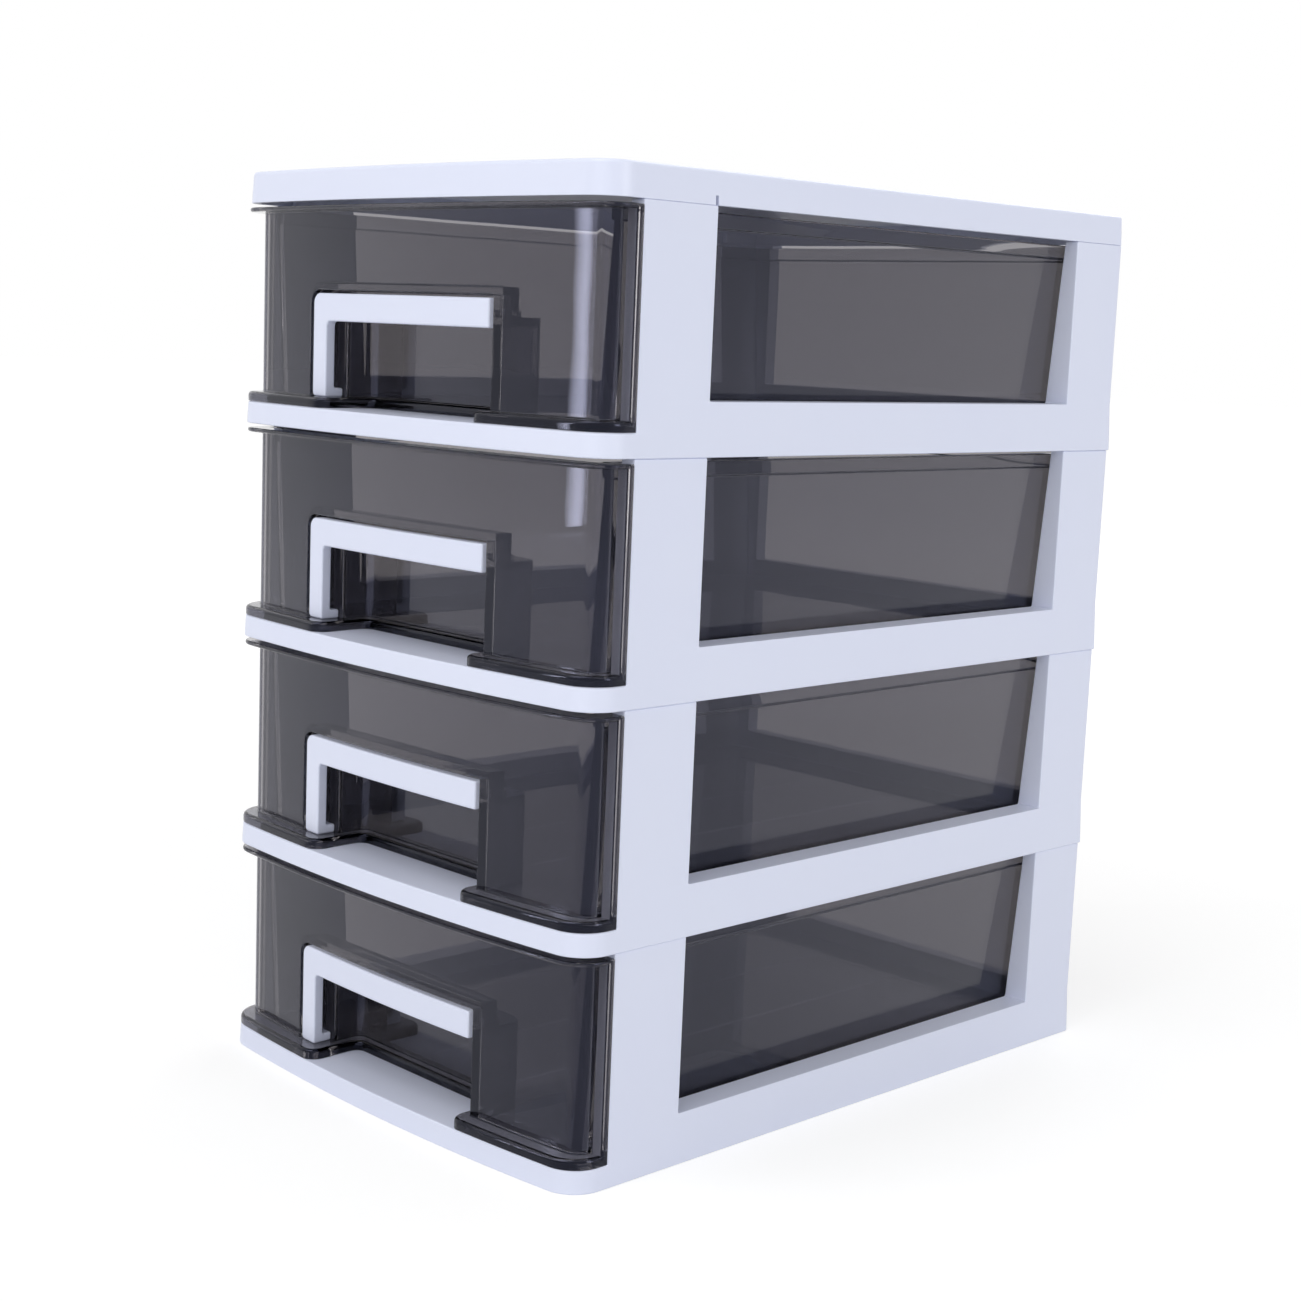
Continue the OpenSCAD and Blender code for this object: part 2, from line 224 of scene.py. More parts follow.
band_x = bay_x(band_z) - SLIDE_GAP
recess_x = RECESS_W / 2
face_y = front_at(recess_x, PANEL_INSET)
recess_y = face_y + RECESS_DEPTH
seat_y = face_y + SEAT_DEPTH
recess_top = flange_top + RECESS_H
ledge_x = recess_x - SIDE_LEDGE_W
ledge_y = recess_y - LEDGE_W
leg_in_x = -recess_x - LEG_OFFSET
leg_out_x = leg_in_x - LEG_W
bar_end_x = recess_x - BAR_END_GAP
bar_z = recess_top - BAR_DROP
bar_top = bar_z + BAR_H
seat_x = leg_out_x - HANDLE_GAP
seat_top = bar_top + HANDLE_GAP

# ---------------------------------------------------------------- outlines seen from above


def arc(cx, cy, r, start, end, steps):
    """Points on an arc between two angles in degrees."""
    angles = [math.radians(start + (end - start) * k / steps) for k in range(steps + 1)]
    return [(cx + r * math.cos(a), cy + r * math.sin(a)) for a in angles]


def mirrored(right):
    """A closed outline from its right half, which starts and ends at x > 0."""
    return right + [(-x, y) for x, y in reversed(right)]


def bowed(inset, x, r, y_rear, rear_r=0.0):
    """A bowed front moved in by inset, sides at half width x with corners of radius r, and a back."""
    arc_r = BOW_R - inset
    cx = x - r
    cy = BOW_Y - math.sqrt((arc_r - r) ** 2 - cx * cx)
    lean = math.asin(cx / (arc_r - r))
    half = BOW_STEPS // 2
    turns = [lean * (k + 0.5) / (half + 0.5) for k in range(half)]
    bow = [(arc_r * math.sin(t), BOW_Y - arc_r * math.cos(t)) for t in turns]
    corner = arc(cx, cy, r, math.degrees(lean) - 90, 0, CORNER_STEPS)
    rear = arc(x - rear_r, y_rear - rear_r, rear_r, 0, 90, SMALL_STEPS) if rear_r else [(x, y_rear)]
    return mirrored(bow + corner + rear)


def footprint(inset):
    """The cabinet's whole outline, moved in by inset."""
    rear_r = max(REAR_CORNER_R - inset, MIN_CORNER_R)
    return bowed(inset, HALF_W - inset, CORNER_R - inset, HALF_D - inset, rear_r)


def outline(inset, y_rear):
    """The cabinet's front and sides back to y_rear, moved in by inset."""
    return bowed(inset, HALF_W - inset, CORNER_R - inset, y_rear)


def panel_plan(inset, y_rear):
    """The front panel and the space behind it back to y_rear, moved in by inset."""
    return bowed(PANEL_INSET + inset, panel_x - inset, PANEL_CORNER_R - inset, y_rear)


def tub_plan(x, y, r, y_front):
    """Sides at half width x, a back at y with corners of radius r, and a straight front."""
    return mirrored([(x, y_front)] + arc(x - r, y - r, r, 0, 90, CORNER_STEPS))


# ---------------------------------------------------------------- making solids


def solid(verts, faces):
    """A mesh object from corners in millimetres, with its doubles merged and its faces outwards."""
    mesh = bpy.data.meshes.new("shape")
    mesh.from_pydata([Vector(v) * MM for v in verts], [], faces)
    bm = bmesh.new()
    bm.from_mesh(mesh)
    bmesh.ops.remove_doubles(bm, verts=bm.verts, dist=HAIR * MM)
    bmesh.ops.recalc_face_normals(bm, faces=bm.faces)
    bm.to_mesh(mesh)
    bm.free()
    piece = bpy.data.objects.new("shape", mesh)
    bpy.context.scene.collection.objects.link(piece)
    return piece


def loft(rings):
    """A closed solid through rings, each a height and an outline with as many points."""
    n = len(rings[0][1])
    verts = [(x, y, z) for z, ring in rings for x, y in ring]
    faces = [tuple(reversed(range(n))), tuple(range(len(verts) - n, len(verts)))]
    for k in range(len(rings) - 1):
        for i in range(n):
            a = k * n + i
            b = k * n + (i + 1) % n
            faces.append((a, b, b + n, a + n))
    return solid(verts, faces)


def edge_turns():
    """Angles in radians round a rounded edge, a quarter turn in all."""
    return [math.pi / 2 * k / EDGE_STEPS for k in range(EDGE_STEPS + 1)]


def edge_rings(plan, low, high, foot_r=0.0, top_r=0.0):
    """Rings between two heights with the outline plan(inset, z), rounded at the foot and the top."""
    rings = []
    for r, z, sign in ((foot_r, low, 1), (top_r, high, -1)):
        turns = edge_turns() if r else [math.pi / 2]
        places = [(z + sign * r * (1 - math.cos(t)), r * (1 - math.sin(t))) for t in turns]
        rings += [(height, plan(inset, height)) for height, inset in places[::sign]]
    return rings


def slab(plan, low, high, foot_r=0.0, top_r=0.0):
    """A solid between two heights with the outline plan(inset, z) and rounded edges."""
    return loft(edge_rings(plan, low, high, foot_r, top_r))


def prism(points, axis, low, high):
    """A polygon run along an axis. Its points are (y, z) along X, (x, z) along Y and (x, y) along Z."""
    place = {
        "X": lambda a, b, t: (t, a, b),
        "Y": lambda a, b, t: (a, t, b),
        "Z": lambda a, b, t: (a, b, t),
    }[axis]
    n = len(points)
    verts = [place(a, b, t) for t in (low, high) for a, b in points]
    faces = [tuple(range(n)), tuple(reversed(range(n, 2 * n)))]
    faces += [(i, i + n, (i + 1) % n + n, (i + 1) % n) for i in range(n)]
    return solid(verts, faces)


def box(x, y, z):
    """A block from its low and high place on each axis."""
    return prism([(x[0], y[0]), (x[1], y[0]), (x[1], y[1]), (x[0], y[1])], "Z", z[0], z[1])


def applied(piece):
    """Replaces a piece's mesh by what its modifiers make of it."""
    graph = bpy.context.evaluated_depsgraph_get()
    made = bpy.data.meshes.new_from_object(piece.evaluated_get(graph))
    piece.modifiers.clear()
    piece.data = made
    return piece


def combine(piece, operation, *others):
    """Joins, cuts or intersects a solid with others, which are used up."""
    for other in others:
        step = piece.modifiers.new("step", "BOOLEAN")
        step.operation = operation
        step.solver = "EXACT"
        step.object = other
        applied(piece)
        bpy.data.objects.remove(other)
    return piece


def eased(piece, width, inside=lambda place: True):
    """Rounds the sharp edges whose middle, in millimetres, passes the test inside."""
    bm = bmesh.new()
    bm.from_mesh(piece.data)
    bmesh.ops.remove_doubles(bm, verts=bm.verts, dist=2 * HAIR * MM)
    bmesh.ops.dissolve_limit(bm, angle_limit=math.radians(FLAT_ANGLE), verts=bm.verts, edges=bm.edges)
    weights = bm.edges.layers.float.new("bevel_weight_edge")
    for edge in bm.edges:
        middle = (edge.verts[0].co + edge.verts[1].co) / (2 * MM)
        chosen = edge.calc_face_angle(0.0) > math.radians(ROUNDED_ANGLE) and inside(middle)
        edge[weights] = 1.0 if chosen else 0.0
    bm.to_mesh(piece.data)
    bm.free()
    step = piece.modifiers.new("edges", "BEVEL")
    step.width = width * MM
    step.segments = BEVEL_STEPS
    step.limit_method = "WEIGHT"
    step.use_clamp_overlap = False
    step.miter_outer = "MITER_ARC"
    return applied(piece)


def smoothed(piece):
    """Shades curves smoothly while flat faces stay flat."""
    piece.data.shade_smooth()
    piece.data.set_sharp_from_angle(angle=math.radians(SHARP_ANGLE))
    step = piece.modifiers.new("flats", "WEIGHTED_NORMAL")
    step.keep_sharp = True
    return applied(piece)


# ---------------------------------------------------------------- the moulded shapes


def bay_cutter():
    """The space between the posts, from the floor up and open to the front."""
    top = TIER_H + PAST
    face = [(-bay_foot_x, LIP_H), (bay_foot_x, LIP_H), (bay_x(top), top), (-bay_x(top), top)]
    return prism(face, "Y", -HALF_D - PAST, bay_rear_y)


def core_cutters(y0, y1, top):
    """The hollows inside both side walls, open underneath."""
    low = floor_under - HAIR
    face = [
        (bay_x(floor_under) + FRAME_SKIN, low),
        (skirt_x - HAIR, low),
        (skirt_x - HAIR, top),
        (bay_x(top) + FRAME_SKIN, top),
    ]
    return [prism([(s * x, z) for x, z in face], "Y", y0, y1) for s in (-1, 1)]


def frame_shape():
    """One tier's frame: lip, floor, rails that flare at the foot, and four posts with tongues."""
    rail = edge_rings(lambda i, z: footprint(i + RAIL_FLARE * z / RAIL_H), 0, RAIL_H, FRAME_EDGE)
    piece = loft(rail + [(TIER_H, footprint(RAIL_FLARE))])
    above = (RAIL_H, TIER_H + PAST)
    across = (-HALF_W - PAST, HALF_W + PAST)
    combine(
        piece,
        "DIFFERENCE",
        bay_cutter(),
        box(across, (-HALF_D - PAST, post_y), (LIP_H, TIER_H + PAST)),
        box(across, (window_front_y, window_rear_y), above),
        box((-back_open_x, back_open_x), (0, HALF_D + PAST), above),
        loft([(-PAST, footprint(skirt_inset)), (floor_under, footprint(skirt_inset))]),
    )
    core_rear_y = rear_y - FRAME_SKIN - CORE_STEP
    core_front_y = post_y + FRAME_SKIN
    for y0, y1, top in (
        (core_front_y, core_rear_y, RAIL_H - FRAME_SKIN),
        (core_front_y, window_front_y - FRAME_SKIN, core_top),
        (window_rear_y + FRAME_SKIN, core_rear_y, core_top),
    ):
        combine(piece, "DIFFERENCE", *core_cutters(y0, y1, top))
    # three sunk panels in the floor, with a runner left between each two
    sunk_x = bay_foot_x - FLOOR_BORDER
    strip = RUNNER_W / 2
    sunk_y = (post_y + FLOOR_BORDER, bay_rear_y - FLOOR_BORDER)
    sunk_z = (LIP_H - FLOOR_SINK, LIP_H + PAST)
    spans = (
        (-sunk_x, -RUNNER_X - strip),
        (strip - RUNNER_X, RUNNER_X - strip),
        (RUNNER_X + strip, sunk_x),
    )
    combine(piece, "DIFFERENCE", *[box(span, sunk_y, sunk_z) for span in spans])
    # tongues on the posts, which locate the next tier
    for y0, y1 in ((post_y, window_front_y), (window_rear_y, bay_rear_y)):
        for s in (-1, 1):
            x = sorted((s * tongue_x, s * (tongue_x - TONGUE_T)))
            y = (y0 + TONGUE_MARGIN, y1 - TONGUE_MARGIN)
            combine(piece, "UNION", box(x, y, (TIER_H - LAP, TIER_H + TONGUE_H)))

    def roundable(place):
        near_face = min(abs(place.y - face) for face in (post_y, window_front_y, window_rear_y)) < LAP
        within_wall = bay_x(place.z) + LAP < abs(place.x) < skirt_x + HAIR
        in_core = within_wall and not near_face and post_y < place.y and place.z < core_top + HAIR
        return place.z > floor_under + HAIR and not in_core

    return smoothed(eased(piece, FRAME_EDGE, roundable))


def lid_shape():
    """The lid: a shallow cap with a rounded top edge, hollow underneath, with two relief slots."""

    def cap_plan(inset, z):
        return footprint(inset + RAIL_FLARE + LID_DRAFT * z / LID_H)

    piece = slab(cap_plan, 0, LID_H, LID_FOOT_EDGE, LID_EDGE)
    hollow = footprint(RAIL_FLARE + LID_SKIN)
    combine(piece, "DIFFERENCE", loft([(-PAST, hollow), (LID_H - LID_SKIN, hollow)]))
    for s in (-1, 1):
        x = sorted((s * (post_x - LID_SKIN - PAST / 2), s * (post_x + PAST)))
        combine(piece, "DIFFERENCE", box(x, (window_front_y - SLOT_W, window_front_y), (-PAST, SLOT_H)))
    return smoothed(eased(piece, LID_FOOT_EDGE))


def tub_inside(inset, z):
    """The tub's inner faces at height z, moved in by inset."""
    x = wall_x(z) - WALL - inset
    y = wall_y(z) - WALL - inset
    return tub_plan(x, y, TUB_CORNER_R - WALL - inset, apron_front_y - LAP)


def apron_plan(inset, z):
    """The plate that closes against the posts, with rounded outer corners."""
    x = apron_x - inset
    r = APRON_CORNER_R - inset
    return mirrored(arc(x - r, apron_front_y + inset + r, r, -90, 0, SMALL_STEPS) + [(x, apron_rear_y)])


def drawer_outside():
    """Tub, band, apron, front panel, flange and brow as one block."""

    def tub_outside(inset, z):
        return tub_plan(wall_x(z) - inset, wall_y(z) - inset, TUB_CORNER_R - inset, apron_mid_y)

    def band_plan(inset, z):
        return tub_plan(band_x - inset, drawer_rear_y - inset, TUB_CORNER_R - inset, apron_mid_y)

    def front_plan(inset, z):
        return outline(FLANGE_INSET + inset, apron_mid_y)

    return combine(
        slab(tub_outside, drawer_z, drawer_top - LAP, FLOOR_FILLET_R),
        "UNION",
        slab(band_plan, band_z, drawer_top, 0.0, DRAWER_EDGE),
        slab(apron_plan, drawer_z, drawer_top, FLANGE_FOOT_R, BROW_R),
        loft([(z, panel_plan(0, apron_mid_y)) for z in (drawer_z, drawer_top)]),
        slab(front_plan, drawer_z, flange_top, FLANGE_FOOT_R, FLANGE_TOP_R),
        slab(front_plan, drawer_top - BROW_T, drawer_top, BROW_R, BROW_R),
    )


def drawer_inside():
    """What is hollowed out of the block, with a rounded foot that leaves fillets round the floor."""

    def panel_inside(inset, z):
        return panel_plan(PANEL_T + inset, apron_front_y)

    rim = tub_plan(band_x - BAND_T, drawer_rear_y - BAND_T, TUB_CORNER_R - WALL, apron_front_y - LAP)
    return combine(
        slab(tub_inside, floor_top, band_z + HAIR, FLOOR_FILLET_R),
        "UNION",
        loft([(z, rim) for z in (band_z - LAP, drawer_top + PAST)]),
        slab(panel_inside, floor_top, drawer_top + PAST, FLOOR_FILLET_R),
    )


def seat(grow, low):
    """The shallow seat behind the handle, grown by grow and open to the front."""
    r = HANDLE_R + HANDLE_GAP + grow
    x0 = seat_x - grow
    x1 = recess_x + grow
    top = seat_top + grow
    face = [(x0, low), (x1, low), (x1, top)] + arc(x0 + r, top - r, r, 90, 180, SMALL_STEPS)
    return prism(face, "Y", -HALF_D - PAST, seat_y + grow)


def pocket(grow, low):
    """The deep recess for the fingers, grown by grow and open to the front."""
    plan = tub_plan(recess_x + grow, recess_y + grow, RECESS_R + grow, -HALF_D - PAST)
    return loft([(z, plan) for z in (low, recess_top + grow)])


def flange_gap():
    """The gap in the flange in front of the recess, whose edges are rounded like the flange's own."""
    end_x = ledge_x + FLANGE_END_R
    end_y = front_at(end_x, FLANGE_INSET) + FLANGE_END_R

    def plan(grow):
        right = [(end_x + HAIR, -HALF_D - PAST)]
        right += arc(end_x, end_y, FLANGE_END_R - grow, -90, -180, SMALL_STEPS)
        right += arc(ledge_x - RECESS_R, ledge_y - RECESS_R, RECESS_R + grow, 0, 90, SMALL_STEPS)
        return mirrored(right)

    rings = [(drawer_z - PAST, plan(0.0))]
    for turn in edge_turns():
        height = flange_top - FLANGE_TOP_R * (1 - math.sin(turn))
        rings.append((height, plan(FLANGE_TOP_R * (1 - math.cos(turn)))))
    rings.append((flange_top + LAP, plan(FLANGE_TOP_R)))
    return loft(rings)


def drawer_shape():
    """One smoked drawer with its finger recess, handle seat and catch."""
    piece = combine(drawer_outside(), "DIFFERENCE", drawer_inside())
    # the walls round seat and recess, which end at the front panel's outline
    housing = combine(seat(WALL, drawer_z), "UNION", pocket(WALL, drawer_z))
    shell = loft([(z, panel_plan(0, recess_y + 2 * WALL)) for z in (drawer_z, drawer_top)])
    combine(piece, "UNION", combine(housing, "INTERSECT", shell))
    catch_y = seat_y + WALL / 2
    catch = box(
        (recess_x - CATCH, recess_x), (catch_y, catch_y + CATCH), (recess_top, recess_top + CATCH)
    )
    combine(piece, "UNION", catch)
    combine(piece, "DIFFERENCE", seat(0, flange_top), pocket(0, flange_top), flange_gap())

    def roundable(place):
        inner = abs(place.x) < panel_x - HAIR
        flange_foot = place.y < apron_front_y and place.z < flange_top - HAIR
        against_posts = abs(place.y - apron_rear_y) < TOUCH
        return inner and not flange_foot and not against_posts

    return smoothed(eased(piece, DRAWER_EDGE, roundable))


def handle_shape():
    """One handle: a bowed bar with a leg on the left, and tabs that reach the back of its seat."""
    face = arc(leg_out_x + FOOT_R, flange_top + FOOT_R, FOOT_R, 180, 270, SMALL_STEPS)
    face += [(leg_in_x, flange_top)]
    face += arc(leg_in_x + INNER_R, bar_z - INNER_R, INNER_R, 180, 90, SMALL_STEPS)
    face += [(bar_end_x, bar_z), (bar_end_x, bar_top)]
    face += arc(leg_out_x + HANDLE_R, bar_top - HANDLE_R, HANDLE_R, 90, 180, SMALL_STEPS)
    # the bow of the bar runs on past the leg, so that none of its facets ends at the leg's edge
    reach = recess_x + 2 * LEG_W
    places = [reach * (2 * k / BOW_STEPS - 1) for k in range(BOW_STEPS + 1)]
    ring = [(x, front_at(x, PANEL_INSET)) for x in places]
    ring += [(x, front_at(x, PANEL_INSET + HANDLE_T)) for x in reversed(places)]
    piece = combine(prism(face, "Y", -HALF_D, seat_y), "INTERSECT", prism(ring, "Z", 0, TIER_H))
    tab_y = (front_at(recess_x, PANEL_INSET + HANDLE_T / 2), seat_y)
    end_z = bar_z + (BAR_H - TAB_H) / 2
    leg_tab = box((leg_out_x + FOOT_R, leg_in_x), tab_y, (flange_top, flange_top + TAB_H))
    end_tab = box((bar_end_x - END_TAB_W, bar_end_x), tab_y, (end_z, end_z + TAB_H))
    combine(piece, "UNION", leg_tab, end_tab)
    return smoothed(eased(piece, HANDLE_EDGE))


# ---------------------------------------------------------------- materials


def linear(hex_colour):
    """An sRGB hex colour as linear RGBA."""
    parts = [int(hex_colour[i : i + 2], 16) / 255 for i in (1, 3, 5)]
    return tuple(p / 12.92 if p <= 0.04045 else ((p + 0.055) / 1.055) ** 2.4 for p in parts) + (1.0,)


def add(owner, kind, links=(), **settings):
    """Adds a node with its settings and links. A setting named in_NAME sets the input of that name."""
    tree = getattr(owner, "node_tree", owner)
    node = tree.nodes.new(kind)
    for key, value in settings.items():
        if key.startswith("in_"):
            node.inputs[key[3:].replace("_", " ")].default_value = value
        else:
            setattr(node, key, value)
    for socket, source in links:
        tree.links.new(source, node.inputs[socket])
    return node


def new_material(name):
    material = bpy.data.materials.new(name)
    material.use_nodes = True
    material.node_tree.nodes.clear()
    return material


def white_polypropylene():
    """White injection-moulded polypropylene: a satin gloss with slow waves where the skin shrank, and a
    slightly uneven shine."""
    m = new_material("white_polypropylene_moulded")
    place = add(m, "ShaderNodeTexCoord").outputs["Object"]
    # waves in the skin, some 18 mm apart, that bend the reflections a little
    wave_spacing = 18 * MM
    waves = add(m, "ShaderNodeTexNoise", [("Vector", place)], in_Scale=1 / wave_spacing, in_Detail=1.0)
    # the mould's fine texture would be 0.1 mm, and is drawn at 0.5 mm to show at all
    grain_size = 0.5 * MM
    grain = add(m, "ShaderNodeTexNoise", [("Vector", place)], in_Scale=1 / grain_size, in_Detail=2.0)
    wave_bump = add(
        m, "ShaderNodeBump", [("Height", waves.outputs["Fac"])], in_Strength=0.1, in_Distance=0.4 * MM
    )
    bump = add(
        m,
        "ShaderNodeBump",
        [("Height", grain.outputs["Fac"]), ("Normal", wave_bump.outputs["Normal"])],
        in_Strength=0.05,
        in_Distance=0.05 * MM,
    )
    shine = add(
        m, "ShaderNodeMapRange", [("Value", waves.outputs["Fac"])], in_To_Min=0.33, in_To_Max=0.37
    )
    tint = add(m, "ShaderNodeMix", [("Factor", waves.outputs["Fac"])], data_type="RGBA")
    tint.inputs["A"].default_value = linear("#E2E7FB")
    tint.inputs["B"].default_value = linear("#E4E9FB")
    shader = add(
        m,
        "ShaderNodeBsdfPrincipled",
        [
            ("Base Color", tint.outputs["Result"]),
            ("Roughness", shine.outputs["Result"]),
            ("Normal", bump.outputs["Normal"]),
        ],
        in_IOR=1.5,
    )
    add(m, "ShaderNodeOutputMaterial", [("Surface", shader.outputs["BSDF"])])
    return m


def smoked_polystyrene():
    """Clear polystyrene with a smoke grey dye: glossy, and darker the more plastic the light crosses."""
    m = new_material("smoked_polystyrene_clear")
    place = add(m, "ShaderNodeTexCoord").outputs["Object"]
    # the panel's faint waves, some 22 mm apart
    wave_spacing = 22 * MM
    waves = add(m, "ShaderNodeTexNoise", [("Vector", place)], in_Scale=1 / wave_spacing, in_Detail=1.0)
    bump = add(
        m, "ShaderNodeBump", [("Height", waves.outputs["Fac"])], in_Strength=0.2, in_Distance=0.3 * MM
    )
    clear = add(
        m,
        "ShaderNodeBsdfPrincipled",
        [("Normal", bump.outputs["Normal"])],
        in_Base_Color=linear("#959396"),
        in_Roughness=0.0,
        in_Specular_Tint=linear("#A4A8C8"),
        in_IOR=1.57,
        in_Transmission_Weight=1.0,
    )
    # lamps shine through the plastic and so light what lies inside
    lamp_ray = add(m, "ShaderNodeLightPath").outputs["Is Shadow Ray"]
    open_way = add(m, "ShaderNodeBsdfTransparent")
    surface = add(
        m,
        "ShaderNodeMixShader",
        [("Fac", lamp_ray), (1, clear.outputs["BSDF"]), (2, open_way.outputs["BSDF"])],
    )
    dye = add(m, "ShaderNodeVolumeAbsorption", in_Color=linear("#6E6B74"), in_Density=30.0)
    add(
        m,
        "ShaderNodeOutputMaterial",
        [("Surface", surface.outputs["Shader"]), ("Volume", dye.outputs["Volume"])],
    )
    return m


# ---------------------------------------------------------------- tiers


def tier_tree():
    """Geometry nodes that put a moulding at its tier's height, in its plastic."""
    tree = bpy.data.node_groups.new("stack_tier", "GeometryNodeTree")
    kinds = {"Moulding": "Geometry", "Tier number": "Int", "Tier height": "Float", "Plastic": "Material"}
    identifiers = {}
    for name, kind in kinds.items():
        socket = tree.interface.new_socket(name, in_out="INPUT", socket_type="NodeSocket" + kind)
        identifiers[name] = socket.identifier
    tree.interface.new_socket("Moulding", in_out="OUTPUT", socket_type="NodeSocketGeometry")
    given = add(tree, "NodeGroupInput").outputs
    rise = add(
        tree,
        "ShaderNodeMath",
        [(0, given["Tier number"]), (1, given["Tier height"])],
        operation="MULTIPLY",
    )
    lift = add(tree, "ShaderNodeCombineXYZ", [("Z", rise.outputs["Value"])])
    spot = add(tree, "GeometryNodeMeshLine", [("Start Location", lift.outputs["Vector"])], in_Count=1)
    placed = add(
        tree,
        "GeometryNodeInstanceOnPoints",
        [("Points", spot.outputs["Mesh"]), ("Instance", given["Moulding"])],
    )
    real = add(tree, "GeometryNodeRealizeInstances", [("Geometry", placed.outputs["Instances"])])
    dressed = add(
        tree,
        "GeometryNodeSetMaterial",
        [("Geometry", real.outputs["Geometry"]), ("Material", given["Plastic"])],
    )
    add(tree, "NodeGroupOutput", [("Moulding", dressed.outputs["Geometry"])])
    return tree, identifiers


def stacked(shape, name, tier, plastic):
    """A copy of a moulding at its tier's height."""
    tree, identifiers = TIER_TREE
    piece = bpy.data.objects.new(name, shape.data.copy())
    bpy.context.scene.collection.objects.link(piece)
    step = piece.modifiers.new("tier", "NODES")
    step.node_group = tree
    step[identifiers["Tier number"]] = tier
    step[identifiers["Tier height"]] = TIER_H * MM
    step[identifiers["Plastic"]] = plastic
    applied(piece)
    piece.data.name = name
    return piece


# ---------------------------------------------------------------- stage, light and camera

# the floor in metres: its size, and how far from its middle its glow starts and stops to grow
FLOOR_SIZE = 12.0
NEAR = 0.25
FAR = 1.0
# the share of light that the floor sends back to the object, and the share that it shows
FLOOR_PAPER = 0.8
FLOOR_SHADE = 0.5
# the glow that makes what it shows white, near the object and far away
NEAR_GLOW = 0.6
FAR_GLOW = 0.8
# the world's light on the object
STUDIO_LIGHT = 0.44
# a lamp's fade lets a sixth of its light through on average, so this gain keeps its watts
FADE_GAIN = 6.0


def grey(share):
    """A plain grey with this share of white."""
    return (share, share, share, 1.0)


def seen_directly(owner):
    """1 where the camera, gloss or clear plastic looks at a surface, and 0 where light falls on it."""
    path = add(owner, "ShaderNodeLightPath").outputs
    seen = path["Is Camera Ray"]
    for ray in ("Is Transmission Ray", "Is Glossy Ray"):
        either = add(owner, "ShaderNodeMath", [(0, seen), (1, path[ray])], operation="MAXIMUM")
        seen = either.outputs["Value"]
    return seen


def floor():
    """A white matt floor that shows a soft shadow, and otherwise runs into the white of the world."""
    half = FLOOR_SIZE / 2
    mesh = bpy.data.meshes.new("floor")
    corners = [(-half, -half, 0), (half, -half, 0), (half, half, 0), (-half, half, 0)]
    mesh.from_pydata(corners, [], [(0, 1, 2, 3)])
    piece = bpy.data.objects.new("floor", mesh)
    bpy.context.scene.collection.objects.link(piece)
    m = new_material("matt_white_paper")
    paper = add(m, "ShaderNodeBsdfDiffuse", in_Color=grey(FLOOR_PAPER))
    shade = add(m, "ShaderNodeBsdfDiffuse", in_Color=grey(FLOOR_SHADE))
    place = add(m, "ShaderNodeTexCoord").outputs["Object"]
    reach = add(m, "ShaderNodeVectorMath", [("Vector", place)], operation="LENGTH")
    level = add(
        m,
        "ShaderNodeMapRange",
        [("Value", reach.outputs["Value"])],
        in_From_Min=NEAR,
        in_From_Max=FAR,
        in_To_Min=NEAR_GLOW,
        in_To_Max=FAR_GLOW,
    )
    glow = add(m, "ShaderNodeEmission", [("Strength", level.outputs["Result"])], in_Color=grey(1.0))
    shown = add(m, "ShaderNodeAddShader", [(0, shade.outputs["BSDF"]), (1, glow.outputs["Emission"])])
    mixed = add(
        m,
        "ShaderNodeMixShader",
        [("Fac", seen_directly(m)), (1, paper.outputs["BSDF"]), (2, shown.outputs["Shader"])],
    )
    add(m, "ShaderNodeOutputMaterial", [("Surface", mixed.outputs["Shader"])])
    mesh.materials.append(m)


def world(strength):
    """Even studio light, which the camera, gloss and clear plastic see as plain white."""
    w = bpy.data.worlds.new("studio")
    bpy.context.scene.world = w
    w.use_nodes = True
    w.node_tree.nodes.clear()
    level = add(w, "ShaderNodeMapRange", [("Value", seen_directly(w))], in_To_Min=strength, in_To_Max=1.0)
    light = add(w, "ShaderNodeBackground", [("Strength", level.outputs["Result"])], in_Color=grey(1.0))
    add(w, "ShaderNodeOutputWorld", [("Surface", light.outputs["Background"])])


def softbox(name, place, aim, width, height, watts, mirrored=True):
    """A rectangular soft lamp at place that shines at aim, and fades towards both of its sides. Places
    and sizes are in metres. Glossy surfaces show the lamp's image only if mirrored is true."""
    data = bpy.data.lights.new(name, "AREA")
    data.shape = "RECTANGLE"
    data.size = width
    data.size_y = height
    data.energy = watts
    data.use_nodes = True
    data.node_tree.nodes.clear()
    spot = add(data, "ShaderNodeNewGeometry").outputs["Parametric"]
    across = add(data, "ShaderNodeSeparateXYZ", [("Vector", spot)]).outputs["X"]
    # x times 1 - x across the lamp, which is brightest in the middle and dark at both sides
    flipped = add(data, "ShaderNodeMath", [(1, across)], operation="SUBTRACT")
    flipped.inputs[0].default_value = 1.0
    hump = add(data, "ShaderNodeMath", [(0, across), (1, flipped.outputs["Value"])], operation="MULTIPLY")
    level = add(data, "ShaderNodeMath", [(0, hump.outputs["Value"])], operation="MULTIPLY")
    level.inputs[1].default_value = FADE_GAIN
    light = add(data, "ShaderNodeEmission", [("Strength", level.outputs["Value"])], in_Color=grey(1.0))
    add(data, "ShaderNodeOutputLight", [("Surface", light.outputs["Emission"])])
    lamp = bpy.data.objects.new(name, data)
    lamp.location = place
    lamp.rotation_euler = (Vector(aim) - Vector(place)).to_track_quat("-Z", "Y").to_euler()
    lamp.visible_glossy = mirrored
    bpy.context.scene.collection.objects.link(lamp)


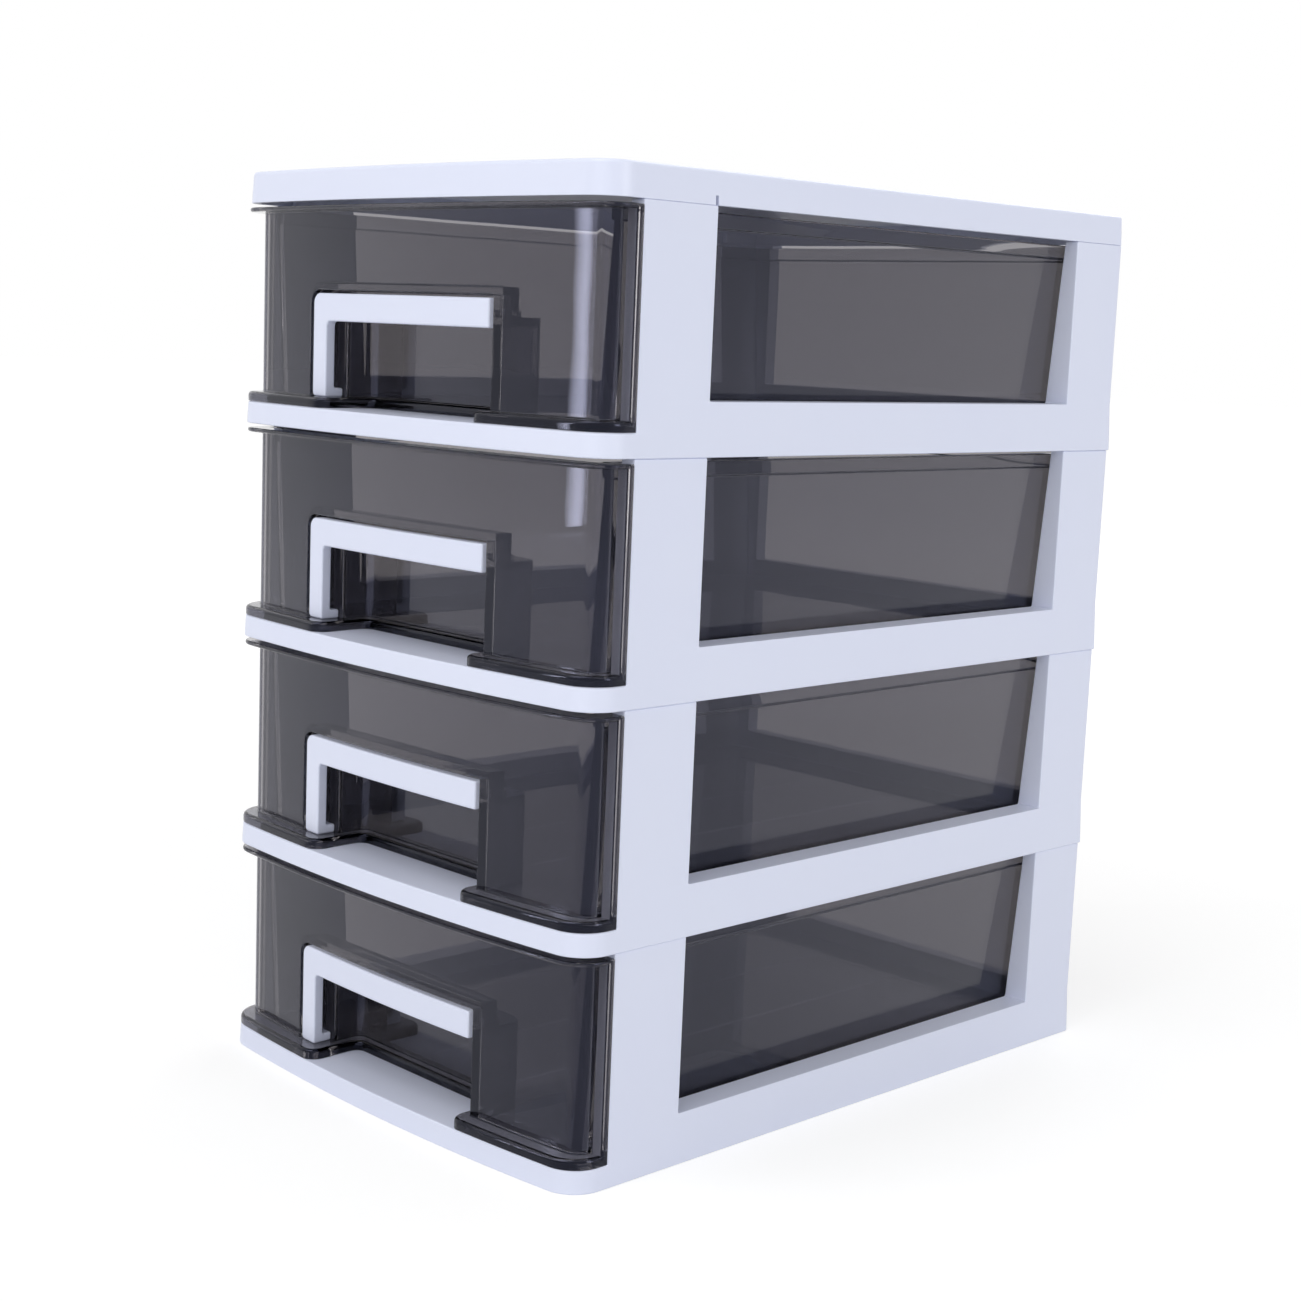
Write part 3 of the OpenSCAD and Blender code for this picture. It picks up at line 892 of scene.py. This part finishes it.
CAMERA_PLACE = Vector((360.7, -362.27, 175.4)) * MM
CAMERA_AZIMUTH = math.radians(45.6253)
CAMERA_ELEVATION = math.radians(8.652)
CAMERA_ROLL = math.radians(2.3295)
SENSOR_MM = 36.0
LENS_MM = 58.564
CAMERA_SHIFT = (0.00388, -0.0002)
CAMERA_CLIP = (0.01, 50.0)


def camera():
    """The camera at the photograph's place, angle and focal length."""
    data = bpy.data.cameras.new("camera")
    data.sensor_width = SENSOR_MM
    data.lens = LENS_MM
    data.shift_x, data.shift_y = CAMERA_SHIFT
    data.clip_start, data.clip_end = CAMERA_CLIP
    a = CAMERA_AZIMUTH
    e = CAMERA_ELEVATION
    back = Vector((math.sin(a) * math.cos(e), -math.cos(a) * math.cos(e), math.sin(e)))
    right = (-back).cross(Vector((0, 0, 1))).normalized()
    up = right.cross(-back)
    across = math.cos(CAMERA_ROLL) * right + math.sin(CAMERA_ROLL) * up
    along = math.cos(CAMERA_ROLL) * up - math.sin(CAMERA_ROLL) * right
    piece = bpy.data.objects.new("camera", data)
    turn = Matrix((across, along, back)).transposed().to_4x4()
    piece.matrix_world = Matrix.Translation(CAMERA_PLACE) @ turn
    bpy.context.scene.collection.objects.link(piece)
    bpy.context.scene.camera = piece


bpy.context.scene.view_settings.view_transform = "Standard"
camera()
floor()
world(STUDIO_LIGHT)
softbox("lamp_above", (-0.1, -0.6, 1.2), aim=(0, 0, 0.1), width=1.0, height=1.0, watts=5.3)
# the fill isn't mirrored, because from behind its image would bleach the lid's top
softbox(
    "lamp_fill", (0.435, -1.195, 0.38), aim=(0, 0, 0.1), width=1.2, height=0.8, watts=3.5, mirrored=False
)
# a thin lamp, whose mirror image is the bright strip on the front panels
softbox("lamp_strip", (-0.7235, -1.1395, 0.44), aim=(0, 0, 0.2), width=0.058, height=0.88, watts=0.95)
softbox("lamp_right", (1.15, 0.15, 0.6), aim=(0, 0, 0.15), width=0.5, height=0.7, watts=3.5)
softbox("lamp_back", (-0.3, 1.1, 1.0), aim=(0, 0, 0.1), width=0.9, height=0.9, watts=3.5)

# ---------------------------------------------------------------- pieces

WHITE = white_polypropylene()
SMOKED = smoked_polystyrene()
TIER_TREE = tier_tree()

frame_form = frame_shape()
drawer_form = drawer_shape()
handle_form = handle_shape()
lid_form = lid_shape()

# each piece: the CAD node that it replaces, its shape, its tier, its plastic, its body and its finish
pieces = [("lid", lid_form, len(TIERS), WHITE, "cabinet", "white_plastic")]
for number, tier in enumerate(TIERS):
    drawer = tier + "_drawer"
    pieces += [
        (tier + "_frame", frame_form, number, WHITE, "cabinet", "white_plastic"),
        (drawer, drawer_form, number, SMOKED, drawer, "smoked_plastic"),
        (tier + "_handle", handle_form, number, WHITE, drawer, "white_plastic"),
    ]
for node, form, number, plastic, body, finish in pieces:
    piece = stacked(form, "moulded_" + node, number, plastic)
    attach(piece, body)
    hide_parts(node)
for form in (frame_form, drawer_form, handle_form, lid_form):
    bpy.data.objects.remove(form)
